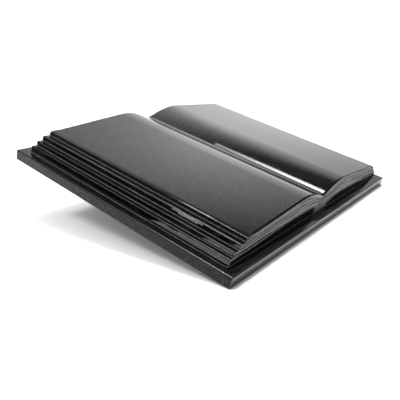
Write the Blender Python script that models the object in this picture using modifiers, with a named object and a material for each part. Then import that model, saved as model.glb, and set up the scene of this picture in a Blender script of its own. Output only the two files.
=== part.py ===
"""Granite book memorial: an open book carved from one slab, propped on a wedge-shaped rest.

Metres, +Z up. The reader stands at -Y, the book's own right is +X, and the origin is on the
ground under the middle of the whole memorial.
"""

import math

import bmesh
import bpy
from mathutils import Matrix

# The slab that the book is carved from, and the cover left round the pages
BOOK_WIDTH = 0.400
BOOK_LENGTH = 0.300
COVER_THICKNESS = 0.012
COVER_ARRIS = 0.0010
TILT = math.radians(14.0)
GROUND_FLAT_DEPTH = 0.00035

# The page block, measured up from the cover's top face
END_LEDGE = 0.0108
BAND_SETBACK = 0.0016
FORE_EDGE_HEIGHT = 0.0213
PAGE_HALF_WIDTH = 0.1655
PAGE_RISE = 0.077
CURL_WIDTH = 0.056
GUTTER_DROP = 0.01544
EDGE_ROLL_WIDTH = 0.006
EDGE_ROLL_DROP = 0.00035

# Each fore-edge tier: how far its arris stands in from the cover's edge, and its height
TIERS = (
    (BOOK_WIDTH / 2 - PAGE_HALF_WIDTH, FORE_EDGE_HEIGHT),
    (0.0250, 0.0175),
    (0.0173, 0.0123),
    (0.0109, 0.0076),
)
TIER_DRAFT = math.tan(math.radians(10.0))
TIER_ARRIS = 0.0012
TIER_FOOT_FILLET = 0.0005
PAGE_END_ARRIS = 0.0010

# Polished panels left proud under the arch of the pages at both ends, and the spine between
# them; curves are stations of distance from the gutter and height over the cover
PANEL_ARCH = (
    (0.0175, 0.0083),
    (0.0320, 0.0114),
    (0.0480, 0.0125),
    (0.0750, 0.0117),
    (0.1050, 0.0096),
    (0.1360, 0.0073),
    (0.1900, 0.0048),
)
SPINE_FOOT_X = 0.0185
PANEL_SIDE_INSET = 0.0004

# Grooves cut into the end faces: a slit that parts the lowest pages from the rest, with a
# floor and a ceiling curve, and a small notch on either side of the spine, with its corners
GROOVE_DEPTH = 0.0025
SLIT_FLOOR = ((0.0970, 0.0111), (0.1300, 0.0086), (0.1650, 0.0066), (0.1860, 0.0079))
SLIT_CEILING = ((0.0970, 0.0111), (0.1300, 0.0099), (0.1650, 0.0082), (0.1860, 0.0086))
LEFT_NOTCH = ((-0.0146, 0.0118), (-0.0050, 0.0088), (-0.0050, 0.0112))
RIGHT_NOTCH = ((0.0192, 0.0095), (0.0295, 0.0125), (0.0192, 0.0110))

# The rest under the raised head of the book
REST_WIDTH = 0.120
REST_FRONT = 0.196
REST_BACK = 0.268
REST_ARRIS = 0.0015
STONE_GAP = 0.0003

# How far forms run into each other, or past a face that they cut
OVERLAP = 0.003
MARGIN = 0.010

# Facets on the rounded stretches, and the edges that count as sharp
ARRIS_SEGMENTS = 3
FILLET_SEGMENTS = 2
END_ARRIS_SEGMENTS = 2
PAGE_STEPS = 34
ROLL_STEPS = 3
ARCH_STEPS = 24
SLIT_STEPS = 14
BOX_EDGE_ANGLE = math.radians(30.0)
END_EDGE_ANGLE = math.radians(60.0)
MERGE_DISTANCE = 0.00001

BLACK_GRANITE = ("black_granite", (0.020, 0.020, 0.022, 1.0), 0.12)
HONED_GRANITE = ("honed_granite", (0.055, 0.055, 0.060, 1.0), 0.45)


def clear_scene():
    """Remove every object that the file opened with."""
    for item in list(bpy.data.objects):
        bpy.data.objects.remove(item, do_unlink=True)


def new_collection(name):
    collection = bpy.data.collections.new(name)
    bpy.context.scene.collection.children.link(collection)
    return collection


def stone(spec):
    """A Principled material from its name, colour and roughness."""
    name, colour, roughness = spec
    material = bpy.data.materials.new(name)
    material.use_nodes = True
    shader = material.node_tree.nodes["Principled BSDF"]
    shader.inputs["Base Color"].default_value = colour
    shader.inputs["Roughness"].default_value = roughness
    shader.inputs["Metallic"].default_value = 0.0
    return material


def page_height(distance):
    """Height of the page face over the cover, at a distance from the gutter.

    The page climbs from the fore-edge at a steady slope, curls over near the gutter along a
    quarter of a sine, and rolls off by a hair at its outer edge.
    """
    line = FORE_EDGE_HEIGHT + PAGE_RISE * (PAGE_HALF_WIDTH - distance)
    curl = 1.0 - math.sin(0.5 * math.pi * min(1.0, distance / CURL_WIDTH))
    roll = max(0.0, (distance - PAGE_HALF_WIDTH) / EDGE_ROLL_WIDTH + 1.0)
    return line - GUTTER_DROP * curl - EDGE_ROLL_DROP * roll * roll


def height_along(stations, distance):
    """Height on the smooth curve that passes through all the stations.

    Between two stations it is a cubic whose slope at each one is that of the chord between
    the stations on either side.
    """
    last = len(stations) - 1
    i = 0
    while i < last - 1 and distance > stations[i + 1][0]:
        i += 1
    (x0, z0), (x1, z1) = stations[i], stations[i + 1]
    before, after = stations[max(0, i - 1)], stations[min(last, i + 2)]
    span = x1 - x0
    rise_in = span * (z1 - before[1]) / (x1 - before[0])
    rise_out = span * (after[1] - z0) / (after[0] - x0)
    t = (distance - x0) / span
    bend = 2.0 * (z0 - z1) + rise_in + rise_out
    swell = 3.0 * (z1 - z0) - 2.0 * rise_in - rise_out
    return z0 + t * (rise_in + t * (swell + t * bend))


def curve_points(stations, start, end, steps):
    """Evenly spaced points of a smooth curve from one distance to another."""
    distances = [start + (end - start) * i / steps for i in range(steps + 1)]
    return [(distance, height_along(stations, distance)) for distance in distances]


def rounded_corner(before, corner, after, radius, segments):
    """Points of the arc that rounds one corner of an outline."""
    ax, az = before[0] - corner[0], before[1] - corner[1]
    bx, bz = after[0] - corner[0], after[1] - corner[1]
    a_length, b_length = math.hypot(ax, az), math.hypot(bx, bz)
    ax, az, bx, bz = ax / a_length, az / a_length, bx / b_length, bz / b_length
    half = 0.5 * math.acos(ax * bx + az * bz)
    reach = radius / math.sin(half)
    mx, mz = ax + bx, az + bz
    m_length = math.hypot(mx, mz)
    cx, cz = corner[0] + reach * mx / m_length, corner[1] + reach * mz / m_length
    tangent = radius / math.tan(half)
    start = math.atan2(corner[1] + tangent * az - cz, corner[0] + tangent * ax - cx)
    end = math.atan2(corner[1] + tangent * bz - cz, corner[0] + tangent * bx - cx)
    sweep = (end - start + math.pi) % (2.0 * math.pi) - math.pi
    angles = [start + sweep * i / segments for i in range(segments + 1)]
    return [(cx + radius * math.cos(angle), cz + radius * math.sin(angle)) for angle in angles]


def page_points():
    """Right-hand page from the gutter to just short of the fore-edge's first arris."""
    roll_start = PAGE_HALF_WIDTH - EDGE_ROLL_WIDTH
    roll_end = PAGE_HALF_WIDTH - 2 * TIER_ARRIS
    distances = [roll_start * i / PAGE_STEPS for i in range(PAGE_STEPS + 1)]
    distances += [roll_start + (roll_end - roll_start) * (i + 1) / ROLL_STEPS for i in range(ROLL_STEPS)]
    return [(distance, page_height(distance)) for distance in distances]


def fore_edge_points(page_end):
    """Right-hand side of the page block, from the page's end down the tiers into the cover."""
    corners = [page_end]
    for i, (inset, height) in enumerate(TIERS):
        below = TIERS[i + 1][1] if i + 1 < len(TIERS) else -OVERLAP
        x = BOOK_WIDTH / 2 - inset
        top = page_height(PAGE_HALF_WIDTH) if i == 0 else height
        corners.append((x, top))
        corners.append((x + TIER_DRAFT * (top - below), below))
    points = []
    for i in range(1, len(corners) - 1):
        is_arris = i % 2 == 1
        radius = TIER_ARRIS if is_arris else TIER_FOOT_FILLET
        segments = ARRIS_SEGMENTS if is_arris else FILLET_SEGMENTS
        points += rounded_corner(corners[i - 1], corners[i], corners[i + 1], radius, segments)
    return points + [corners[-1]]


def page_block_outline():
    """Closed outline of the page block across the book, seen from the reader's side."""
    page = page_points()
    right = page + fore_edge_points(page[-1])
    left = [(-x, z) for x, z in reversed(right[1:])]
    return left + right


def panel_outline():
    """Closed outline of the polished panel between the spine's foot and the last tier."""
    top = PANEL_ARCH[-1][1]
    outer_foot = BOOK_WIDTH / 2 - TIERS[-1][0] + TIER_DRAFT * TIERS[-1][1] - PANEL_SIDE_INSET
    arch = curve_points(PANEL_ARCH, PANEL_ARCH[0][0], outer_foot - TIER_DRAFT * top, ARCH_STEPS)
    return [(SPINE_FOOT_X, -OVERLAP)] + arch + [(outer_foot + TIER_DRAFT * OVERLAP, -OVERLAP)]


def slit_outline():
    """Closed outline of the slit, from its tip out past the side of the third tier."""
    tip, mouth = SLIT_FLOOR[0][0], SLIT_FLOOR[-1][0]
    floor = curve_points(SLIT_FLOOR, tip, mouth, SLIT_STEPS)
    ceiling = curve_points(SLIT_CEILING, tip, mouth, SLIT_STEPS)
    return floor + ceiling[:0:-1]


def extruded(name, outline, depth):
    """Mesh object with an outline in X and Z, extruded by depth along Y about Y = 0."""
    curve = bpy.data.curves.new(name, "CURVE")
    curve.dimensions = "2D"
    curve.fill_mode = "BOTH"
    curve.extrude = depth / 2
    spline = curve.splines.new("POLY")
    spline.points.add(len(outline) - 1)
    for point, (x, z) in zip(spline.points, outline):
        point.co = (x, z, 0.0, 1.0)
    spline.use_cyclic_u = True
    sketch = bpy.data.objects.new(name + "_sketch", curve)
    bpy.context.scene.collection.objects.link(sketch)
    bpy.context.view_layer.update()
    mesh = bpy.data.meshes.new_from_object(sketch.evaluated_get(bpy.context.evaluated_depsgraph_get()))
    bpy.data.objects.remove(sketch, do_unlink=True)
    mesh.name = name
    form = bmesh.new()
    form.from_mesh(mesh)
    bmesh.ops.remove_doubles(form, verts=form.verts, dist=MERGE_DISTANCE)
    bmesh.ops.transform(form, matrix=Matrix.Rotation(math.pi / 2, 4, "X"), verts=form.verts)
    bmesh.ops.recalc_face_normals(form, faces=form.faces)
    form.to_mesh(mesh)
    form.free()
    return bpy.data.objects.new(name, mesh)


def block(name, low, high):
    """Box between two corners, made from a cube with its place in its mesh."""
    mesh = bpy.data.meshes.new(name)
    form = bmesh.new()
    bmesh.ops.create_cube(form, size=1.0)
    for vertex in form.verts:
        vertex.co = [low[k] + (vertex.co[k] + 0.5) * (high[k] - low[k]) for k in range(3)]
    form.to_mesh(mesh)
    form.free()
    return bpy.data.objects.new(name, mesh)


def round_edges(item, width, segments, angle):
    """Round every edge sharper than an angle, without sliding along the shallow ones."""
    modifier = item.modifiers.new("arrises", "BEVEL")
    modifier.width = width
    modifier.segments = segments
    modifier.limit_method = "ANGLE"
    modifier.angle_limit = angle
    modifier.use_clamp_overlap = False
    modifier.loop_slide = False


def combine(item, other, operation):
    modifier = item.modifiers.new(other.name, "BOOLEAN")
    modifier.operation = operation
    modifier.solver = "EXACT"
    modifier.object = other


def as_form(item, collection, parent=None):
    """File an object with the forms that only serve to cut or join."""
    item.parent = parent
    item.hide_render = True
    item.display_type = "WIRE"
    collection.objects.link(item)
    return item


def end_form(name, outline, near, far, on_both_pages, forms, tilt_frame):
    """A form on the book's tail end, mirrored to its head and, if asked, to the other page.

    near and far are the form's two faces, as distances inside the cover's tail edge.
    """
    item = as_form(extruded(name, outline, far - near), forms, tilt_frame)
    item.location = (0.0, BOOK_LENGTH / 2, COVER_THICKNESS)
    middle = (near + far) / 2 - BOOK_LENGTH / 2
    for vertex in item.data.vertices:
        vertex.co.y += middle
    mirror = item.modifiers.new("both_ends", "MIRROR")
    mirror.use_axis = (on_both_pages, True, False)
    mirror.use_mirror_merge = False
    return item


def ground_drop():
    """How far the tilted slab sinks so that its rounded tail edge gets a narrow ground flat."""
    lowest = COVER_ARRIS * (math.sin(TILT) + math.cos(TILT) - 1.0)
    return lowest + GROUND_FLAT_DEPTH


def book_depth_range():
    """Lowest and highest Y of the tilted book, from its tail's bottom edge."""
    tail = COVER_ARRIS * math.cos(TILT) - (COVER_THICKNESS - COVER_ARRIS) * math.sin(TILT) - COVER_ARRIS
    head = (BOOK_LENGTH - COVER_ARRIS) * math.cos(TILT) - COVER_ARRIS * math.sin(TILT) + COVER_ARRIS
    return tail, head


def build_page_block(forms, tilt_frame):
    """Both pages, the gutter and the stepped fore-edges, with the panels and end grooves."""
    band = END_LEDGE + BAND_SETBACK
    pages = extruded("page_block_form", page_block_outline(), BOOK_LENGTH - 2 * band)
    as_form(pages, forms, tilt_frame)
    pages.location = (0.0, BOOK_LENGTH / 2, COVER_THICKNESS)
    round_edges(pages, PAGE_END_ARRIS, END_ARRIS_SEGMENTS, END_EDGE_ANGLE)

    panel = end_form("end_panel_form", panel_outline(), END_LEDGE, band + OVERLAP, True, forms, tilt_frame)
    combine(pages, panel, "UNION")
    grooves = (
        ("page_slit_form", slit_outline(), True),
        ("left_notch_form", LEFT_NOTCH, False),
        ("right_notch_form", RIGHT_NOTCH, False),
    )
    near, far = band - OVERLAP, band + GROOVE_DEPTH
    for name, outline, on_both_pages in grooves:
        groove = end_form(name, outline, near, far, on_both_pages, forms, tilt_frame)
        combine(pages, groove, "DIFFERENCE")
    return pages


def build_book(parts, forms, tilt_frame, granite):
    """The whole book: cover and pages in one stone, leaning back on its tail edge."""
    book = block("granite_book", (-BOOK_WIDTH / 2, 0.0, 0.0), (BOOK_WIDTH / 2, BOOK_LENGTH, COVER_THICKNESS))
    book.parent = tilt_frame
    book.data.materials.append(granite)
    parts.objects.link(book)
    round_edges(book, COVER_ARRIS, ARRIS_SEGMENTS, BOX_EDGE_ANGLE)
    combine(book, build_page_block(forms, tilt_frame), "UNION")

    half = BOOK_WIDTH / 2 + MARGIN
    low, high = (-half, -MARGIN - BOOK_LENGTH, -MARGIN), (half, BOOK_LENGTH, 0.0)
    combine(book, as_form(block("ground_cut", low, high), forms), "DIFFERENCE")
    return book


def build_rest(parts, tail_y, granite):
    """Wedge-topped block that stands under the head of the book and carries its weight."""
    half = REST_WIDTH / 2
    low, high = (-half, REST_FRONT + tail_y, 0.0), (half, REST_BACK + tail_y, BOOK_LENGTH)
    rest = block("wedge_rest", low, high)
    for vertex in rest.data.vertices:
        if vertex.co.z > 0.0:
            underside = (vertex.co.y - tail_y) * math.tan(TILT) - ground_drop()
            vertex.co.z = underside - STONE_GAP / math.cos(TILT)
    rest.data.materials.append(granite)
    parts.objects.link(rest)
    round_edges(rest, REST_ARRIS, ARRIS_SEGMENTS, BOX_EDGE_ANGLE)
    return rest


def main():
    clear_scene()
    parts = new_collection("granite_book_memorial")
    forms = new_collection("forms")
    tail, head = book_depth_range()
    tilt_frame = bpy.data.objects.new("tilt_frame", None)
    tilt_frame.location = (0.0, -(tail + head) / 2, -ground_drop())
    tilt_frame.rotation_euler = (TILT, 0.0, 0.0)
    parts.objects.link(tilt_frame)
    build_book(parts, forms, tilt_frame, stone(BLACK_GRANITE))
    build_rest(parts, tilt_frame.location.y, stone(HONED_GRANITE))


main()
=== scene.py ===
"""Looks of an open-book memorial of black granite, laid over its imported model.

The book is carved from one slab and leans back on its tail edge, with its head on a wedge
rest. Metres, +Z up, the reader at -Y. The sizes repeat the values of the part's source.
"""

import logging
import math
from dataclasses import dataclass
from enum import Enum
from typing import Any, Callable

import bmesh
import bpy
import numpy as np
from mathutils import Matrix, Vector


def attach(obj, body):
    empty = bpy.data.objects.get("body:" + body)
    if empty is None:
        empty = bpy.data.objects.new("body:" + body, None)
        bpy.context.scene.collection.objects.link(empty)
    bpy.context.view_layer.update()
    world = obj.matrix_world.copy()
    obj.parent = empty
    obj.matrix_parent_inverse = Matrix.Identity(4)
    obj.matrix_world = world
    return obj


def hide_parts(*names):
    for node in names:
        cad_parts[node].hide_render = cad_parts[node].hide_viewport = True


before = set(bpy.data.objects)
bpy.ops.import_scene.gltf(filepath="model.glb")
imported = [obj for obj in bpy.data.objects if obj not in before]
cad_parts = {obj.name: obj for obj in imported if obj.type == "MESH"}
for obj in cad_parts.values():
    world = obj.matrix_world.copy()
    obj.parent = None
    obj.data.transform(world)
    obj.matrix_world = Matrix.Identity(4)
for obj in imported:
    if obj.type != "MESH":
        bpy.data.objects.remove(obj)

log = logging.getLogger("granite_book")
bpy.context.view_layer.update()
TAU = 2.0 * math.pi
# Straights are shaded flat up to this far from a rounded corner
GUARD = 0.00025
# Angle past which an edge is shaded sharp
CREASE = math.radians(30.0)
# Points closer than this become one point
MERGE = 0.000002
# An outline turns left where the cross product of its legs, in square metres, is over this
LEFT_TURN = 1e-10
# The extra ring in a prism's end lies in by this share of its arris, and this much more
RING_SHARE = 1.1
RING_GAP = 0.00002
# Unevenness of hand work: how many sines, their wavelengths over the scale, and their gain
SINES = 7
WAVELENGTHS = (0.6, 1.7)
GAIN = 1.6
BLACK = (0.0, 0.0, 0.0, 1.0)
WHITE = (1.0, 1.0, 1.0, 1.0)
OXIDE = (0.22, 0.22, 0.225, 1.0)
Pair = tuple[float, float]
Triple = tuple[float, float, float]
Stations = tuple[Pair, ...]


# Surfaces as arrays


def smooth_step(low: float, high: float, value: np.ndarray) -> np.ndarray:
    """Ease from 0 to 1 between low and high along 3t^2 - 2t^3.

    Args:
        low: Where the ease starts.
        high: Where the ease ends.
        value: Any array.

    Returns:
        The eased array.
    """
    t = np.clip((value - low) / (high - low), 0.0, 1.0)
    return t * t * (3.0 - 2.0 * t)


def ripple(along: np.ndarray, across: np.ndarray, scale: float, seed: int) -> np.ndarray:
    """Gentle unevenness of hand work between about -1 and 1.

    It is the gain times the mean of some sines over the plane, each with its own seeded
    direction, phase and a wavelength near the scale.

    Args:
        along: First coordinate.
        across: Second coordinate, the same shape.
        scale: Typical wavelength in metres.
        seed: Seed of the directions and phases.

    Returns:
        The unevenness at each point.
    """
    dice = np.random.default_rng(seed)
    heading = dice.uniform(0.0, TAU, SINES)
    phase = dice.uniform(0.0, TAU, SINES)
    pitch = scale * dice.uniform(*WAVELENGTHS, SINES)
    flat = along[..., None] * np.cos(heading) + across[..., None] * np.sin(heading)
    return np.sin(TAU * flat / pitch + phase).mean(axis=-1) * GAIN


def height_along(stations: Stations, distance: np.ndarray) -> np.ndarray:
    """Height on the smooth curve through all stations, held level beyond both ends.

    Between two stations it is a cubic whose slope at each one is that of the chord between the
    stations on either side.

    Args:
        stations: Pairs of distance and height, in rising distance.
        distance: Distances to read.

    Returns:
        The heights.
    """
    knots = np.array(stations)
    x, z = knots[:, 0], knots[:, 1]
    slope = np.empty_like(z)
    slope[1:-1] = (z[2:] - z[:-2]) / (x[2:] - x[:-2])
    slope[0] = (z[1] - z[0]) / (x[1] - x[0])
    slope[-1] = (z[-1] - z[-2]) / (x[-1] - x[-2])
    held = np.clip(distance, x[0], x[-1])
    i = np.clip(np.searchsorted(x, held) - 1, 0, len(x) - 2)
    span = x[i + 1] - x[i]
    t = (held - x[i]) / span
    bend = 2.0 * (z[i] - z[i + 1]) + span * (slope[i] + slope[i + 1])
    swell = 3.0 * (z[i + 1] - z[i]) - span * (2.0 * slope[i] + slope[i + 1])
    return z[i] + t * (span * slope[i] + t * (swell + t * bend))


def rounded_corner(
    before: np.ndarray, corner: np.ndarray, after: np.ndarray, radius: float, steps: int
) -> np.ndarray:
    """Arc of a circle that touches both legs of a corner.

    The centre lies on the corner's bisector at radius / sin(half angle), and the arc sweeps the
    short way from one tangent point to the other.

    Args:
        before: Point on the first leg.
        corner: The corner.
        after: Point on the second leg.
        radius: Radius of the arc.
        steps: Facets on the arc.

    Returns:
        Array of steps + 1 points.
    """
    a = (before - corner) / np.linalg.norm(before - corner)
    b = (after - corner) / np.linalg.norm(after - corner)
    half = 0.5 * math.acos(float(np.clip(a @ b, -1.0, 1.0)))
    middle = (a + b) / np.linalg.norm(a + b)
    centre = corner + middle * radius / math.sin(half)
    tangent = radius / math.tan(half)
    spokes = np.array([corner + tangent * a - centre, corner + tangent * b - centre])
    angle = np.arctan2(spokes[:, 1], spokes[:, 0])
    sweep = (angle[1] - angle[0] + math.pi) % TAU - math.pi
    turns = angle[0] + sweep * np.linspace(0.0, 1.0, steps + 1)
    return centre + radius * np.stack([np.cos(turns), np.sin(turns)], axis=1)


def polyline(corners: np.ndarray, radii: list[float], pitch: float, steps: int) -> np.ndarray:
    """Open line through corners, each inner one rounded, with points along the straights.

    A straight also gets a point at the guard's distance from each of its ends, so that it is
    shaded flat up to there.

    Args:
        corners: Corner points, one row each.
        radii: Radius at each inner corner.
        pitch: Largest spacing of points on a straight.
        steps: Facets on each arc.

    Returns:
        The points in order, ends included.
    """
    arcs = [
        rounded_corner(corners[i], corners[i + 1], corners[i + 2], radius, steps)
        for i, radius in enumerate(radii)
    ]
    anchors = [corners[:1]] + arcs + [corners[-1:]]
    pieces = [anchors[0]]
    for last, following in zip(anchors, anchors[1:]):
        gap = np.linalg.norm(following[0] - last[-1])
        count = max(1, int(math.ceil(gap / pitch)))
        fill = np.linspace(0.0, 1.0, count + 1)[1:-1]
        if gap > 4.0 * GUARD:
            fill = np.concatenate([[GUARD / gap], fill, [1.0 - GUARD / gap]])
        pieces.append(last[-1] + fill[:, None] * (following[0] - last[-1]))
        pieces.append(following)
    return np.concatenate(pieces)


def outward_normals(outline: np.ndarray, closed: bool) -> np.ndarray:
    """Unit normals on the left-hand side of an outline's direction of travel.

    Each is the direction between the point's neighbours turned a quarter circle.

    Args:
        outline: Points in order.
        closed: Whether the last point joins the first.

    Returns:
        One normal per point.
    """
    if closed:
        along = np.roll(outline, -1, axis=0) - np.roll(outline, 1, axis=0)
    else:
        along = np.gradient(outline, axis=0)
    turned = np.stack([-along[:, 1], along[:, 0]], axis=1)
    return turned / np.linalg.norm(turned, axis=1, keepdims=True)


def tube_faces(rings: int, around: int) -> list[list[int]]:
    """Quads that join closed rings one after another, and a cap on the first and the last.

    Args:
        rings: Number of rings.
        around: Points on each ring.

    Returns:
        Vertex numbers of each face.
    """
    start = np.arange(rings - 1)[:, None] * around
    here = np.arange(around)[None, :]
    beyond = (here + 1) % around
    quads = np.stack(
        [start + here, start + beyond, start + around + beyond, start + around + here], axis=-1
    )
    first = list(range(around))[::-1]
    final = list(range((rings - 1) * around, rings * around))
    return quads.reshape(-1, 4).tolist() + [first, final]


def prism_rings(
    outline: np.ndarray, near: float, far: float, arris: float, steps: int
) -> np.ndarray:
    """Rings of a prism whose two ends are rounded over by a quarter circle.

    A ring at angle t of the quarter circle is the outline moved in along its normals by
    arris (1 - sin t), and stands arris (1 - cos t) in from the end. One more ring lies a little
    further in on each end, so that the end is shaded flat.

    Args:
        outline: Closed outline, clockwise, so that its left-hand normals point out.
        near: Depth of the near end.
        far: Depth of the far end.
        arris: Radius of the rounded ends.
        steps: Facets on each quarter circle.

    Returns:
        Array of rings, points and (first, depth, second) coordinates.
    """
    normals = outward_normals(outline, True)
    turn = np.linspace(0.0, 0.5 * math.pi, steps + 1)
    inset = np.append(arris * RING_SHARE + RING_GAP, arris * (1.0 - np.sin(turn)))
    stand = np.append(0.0, arris * (1.0 - np.cos(turn)))
    insets = np.concatenate([inset, inset[::-1]])
    depths = np.concatenate([near + stand, far - stand[::-1]])
    flat = outline[None] - normals[None] * insets[:, None, None]
    depth = np.broadcast_to(depths[:, None], flat.shape[:2])
    return np.stack([flat[..., 0], depth, flat[..., 1]], axis=-1)


# The book's own frame


@dataclass(frozen=True)
class BookFrame:
    """The tilted frame that the book is drawn in: x from the gutter, y from the tail, z up."""

    width: float = 0.400
    length: float = 0.300
    cover: float = 0.012
    arris: float = 0.0010
    tilt: float = math.radians(14.0)
    ground_flat: float = 0.00035

    def drop(self) -> float:
        """How far the slab sinks, so that its rounded tail edge gets a narrow flat."""
        return self.arris * (math.sin(self.tilt) + math.cos(self.tilt) - 1.0) + self.ground_flat

    def depth_shift(self) -> float:
        """Shift along Y that centres the tilted book on the origin.

        It is minus the mean of the depths that the rounded tail edge and the rounded head edge
        reach to.

        Returns:
            The shift in metres.
        """
        sine, cosine = math.sin(self.tilt), math.cos(self.tilt)
        tail = self.arris * cosine - (self.cover - self.arris) * sine - self.arris
        head = (self.length - self.arris) * cosine - self.arris * sine + self.arris
        return -(tail + head) / 2.0

    def place(self, points: np.ndarray) -> np.ndarray:
        """Points of the tilted frame in the memorial's own frame, kept above the ground.

        Args:
            points: Array whose last axis is x, y, z in the tilted frame.

        Returns:
            The same points turned about X, shifted, and flattened where they reach the ground.
        """
        sine, cosine = math.sin(self.tilt), math.cos(self.tilt)
        y = points[..., 1] * cosine - points[..., 2] * sine + self.depth_shift()
        z = points[..., 1] * sine + points[..., 2] * cosine - self.drop()
        return np.stack([points[..., 0], y, np.maximum(z, 0.0)], axis=-1)


# Meshes and shading


class Surface(Enum):
    """How a face of the stone is finished, as its number in the piece's material list."""

    POLISHED = 0
    # Honed finish, also used for a painted highlight: a pale lens on one step of the left page
    HONED_AND_PAINTED_HIGHLIGHT = 1
    SAWN = 2
    # Dull black finish, also used for painted shade: the black in the end bands' cuts and leaf lines
    DULL_AND_PAINTED_SHADE = 3
    CORNER = 4


def link(name: str, data: Any) -> bpy.types.Object:
    """New object that shows some data, linked to the scene.

    Args:
        name: Its name.
        data: A mesh, lamp or camera.

    Returns:
        The object.
    """
    item = bpy.data.objects.new(name, data)
    bpy.context.scene.collection.objects.link(item)
    return item


def side_numbers(rings: np.ndarray, surface: Surface) -> np.ndarray:
    """Number of one surface for every face between the rings."""
    return np.full((len(rings) - 1, rings.shape[1]), surface.value)


def stone_mesh(
    name: str, rings: np.ndarray, numbers: np.ndarray, caps: Surface
) -> bpy.types.Object:
    """Closed mesh object at the origin, shaded smooth except over sharp creases.

    Args:
        name: Name of the piece.
        rings: Array of rings, points and coordinates.
        numbers: Number of the surface of each face between the rings.
        caps: Surface of both end faces.

    Returns:
        The object, linked to the scene, its faces outward.
    """
    mesh = bpy.data.meshes.new(name)
    mesh.from_pydata(rings.reshape(-1, 3).tolist(), [], tube_faces(*rings.shape[:2]))
    surfaces = np.append(numbers.ravel(), [caps.value] * 2)
    mesh.polygons.foreach_set("material_index", surfaces.astype(np.int32))
    mesh.validate()
    piece = link(name, mesh)
    close_and_orient(mesh)
    mesh.polygons.foreach_set("use_smooth", np.ones(len(mesh.polygons), dtype=bool))
    mesh.set_sharp_from_angle(angle=CREASE)
    mesh.update()
    return piece


def close_and_orient(mesh: bpy.types.Mesh) -> None:
    """Merge points that coincide and turn every face outward.

    Args:
        mesh: The mesh to mend.
    """
    form = bmesh.new()
    form.from_mesh(mesh)
    bmesh.ops.remove_doubles(form, verts=form.verts, dist=MERGE)
    bmesh.ops.dissolve_degenerate(form, edges=form.edges, dist=0.5 * MERGE)
    bmesh.ops.recalc_face_normals(form, faces=form.faces)
    form.to_mesh(mesh)
    form.free()


def math_method(operation: str, number_first: bool = False) -> Callable[["Value", Any], "Value"]:
    """Operator of a value that adds one Math node.

    Args:
        operation: Operation of the node.
        number_first: Whether the plain number stands before the value.

    Returns:
        The method.
    """

    def method(own: "Value", other: Any) -> "Value":
        """Math node on both, in the order in which they are written."""
        pair = (other, own) if number_first else (own, other)
        return own.bench.value("ShaderNodeMath", {"operation": operation}, dict(enumerate(pair)))

    return method


class Value:
    """A number on a shader socket, with arithmetic that adds the Math nodes it needs."""

    def __init__(self, bench: "Bench", socket: Any) -> None:
        """Keep the bench that makes nodes and the socket or number that is wrapped."""
        self.bench = bench
        self.socket = socket

    __add__, __radd__ = math_method("ADD"), math_method("ADD", True)
    __sub__, __rsub__ = math_method("SUBTRACT"), math_method("SUBTRACT", True)
    __mul__, __rmul__ = math_method("MULTIPLY"), math_method("MULTIPLY", True)
    __truediv__, __rtruediv__ = math_method("DIVIDE"), math_method("DIVIDE", True)
    __pow__ = math_method("POWER")

    def fade(self) -> "Value":
        """Fall from 1 towards 0 as the value grows: e to its negative."""
        return self.bench.value("ShaderNodeMath", {"operation": "EXPONENT"}, {0: 0.0 - self})

    def over(self, low: float, high: float) -> "Value":
        """Eased 0 to 1 as the value goes from low to high.

        Args:
            low: Value where the ease starts.
            high: Value where it ends.

        Returns:
            The eased value.
        """
        inputs = {"Value": self, "From Min": low, "From Max": high}
        settings = {"interpolation_type": "SMOOTHSTEP"}
        return self.bench.value("ShaderNodeMapRange", settings, inputs, "Result")


class Bench:
    """Makes the nodes of one material or of the world."""

    def __init__(self, tree: bpy.types.NodeTree) -> None:
        """Start on an emptied node tree."""
        self.tree = tree
        tree.nodes.clear()

    def node(self, kind: str, settings: dict[str, Any], inputs: dict[Any, Any]) -> bpy.types.Node:
        """Add one node.

        Args:
            kind: Node type.
            settings: Attributes of the node, set first.
            inputs: Values or links of its sockets, by name or number.

        Returns:
            The new node.
        """
        made = self.tree.nodes.new(kind)
        for key, value in settings.items():
            setattr(made, key, value)
        for key, value in inputs.items():
            plug = value.socket if isinstance(value, Value) else value
            if isinstance(plug, bpy.types.NodeSocket):
                self.tree.links.new(plug, made.inputs[key])
            else:
                made.inputs[key].default_value = plug
        return made

    def value(
        self, kind: str, settings: dict[str, Any], inputs: dict[Any, Any], output: Any = 0
    ) -> Value:
        """Add one node and wrap one of its outputs."""
        return Value(self, self.node(kind, settings, inputs).outputs[output])

    def place(self, scale: tuple[float, ...], turn: tuple[float, ...]) -> Any:
        """Object coordinates scaled and then turned.

        Args:
            scale: Scale along each axis.
            turn: Turn about each axis.

        Returns:
            The socket that gives them.
        """
        where = self.node("ShaderNodeTexCoord", {}, {}).outputs["Object"]
        inputs = {"Vector": where, "Rotation": turn, "Scale": scale}
        return self.node("ShaderNodeMapping", {}, inputs).outputs["Vector"]

    def blend(self, mask: Value, low: Any, high: Any) -> Any:
        """Colour between two colours by a mask.

        Args:
            mask: 0 for the first colour, 1 for the second.
            low: The first colour.
            high: The second colour.

        Returns:
            The socket that gives it.
        """
        settings = {"data_type": "RGBA"}
        inputs = {0: mask, 6: low, 7: high}
        return self.node("ShaderNodeMix", settings, inputs).outputs[2]

    def finish(self, surface: Any, kind: str = "Material") -> None:
        """Show a shader as the surface of the material or of the world."""
        self.node(f"ShaderNodeOutput{kind}", {}, {"Surface": surface})

    def light(self, level: Value, peak: float) -> dict[str, Any]:
        """Inputs of a shader that shines by a level of at most the peak."""
        return {"Color": self.blend(level / peak, BLACK, WHITE), "Strength": peak}


def new_material(name: str) -> tuple[bpy.types.Material, Bench]:
    """Empty material, and the bench that makes its nodes.

    Args:
        name: Its name.

    Returns:
        The material and the bench.
    """
    made = bpy.data.materials.new(name)
    made.use_nodes = True
    return made, Bench(made.node_tree)


# Finishes of the stone


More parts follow.
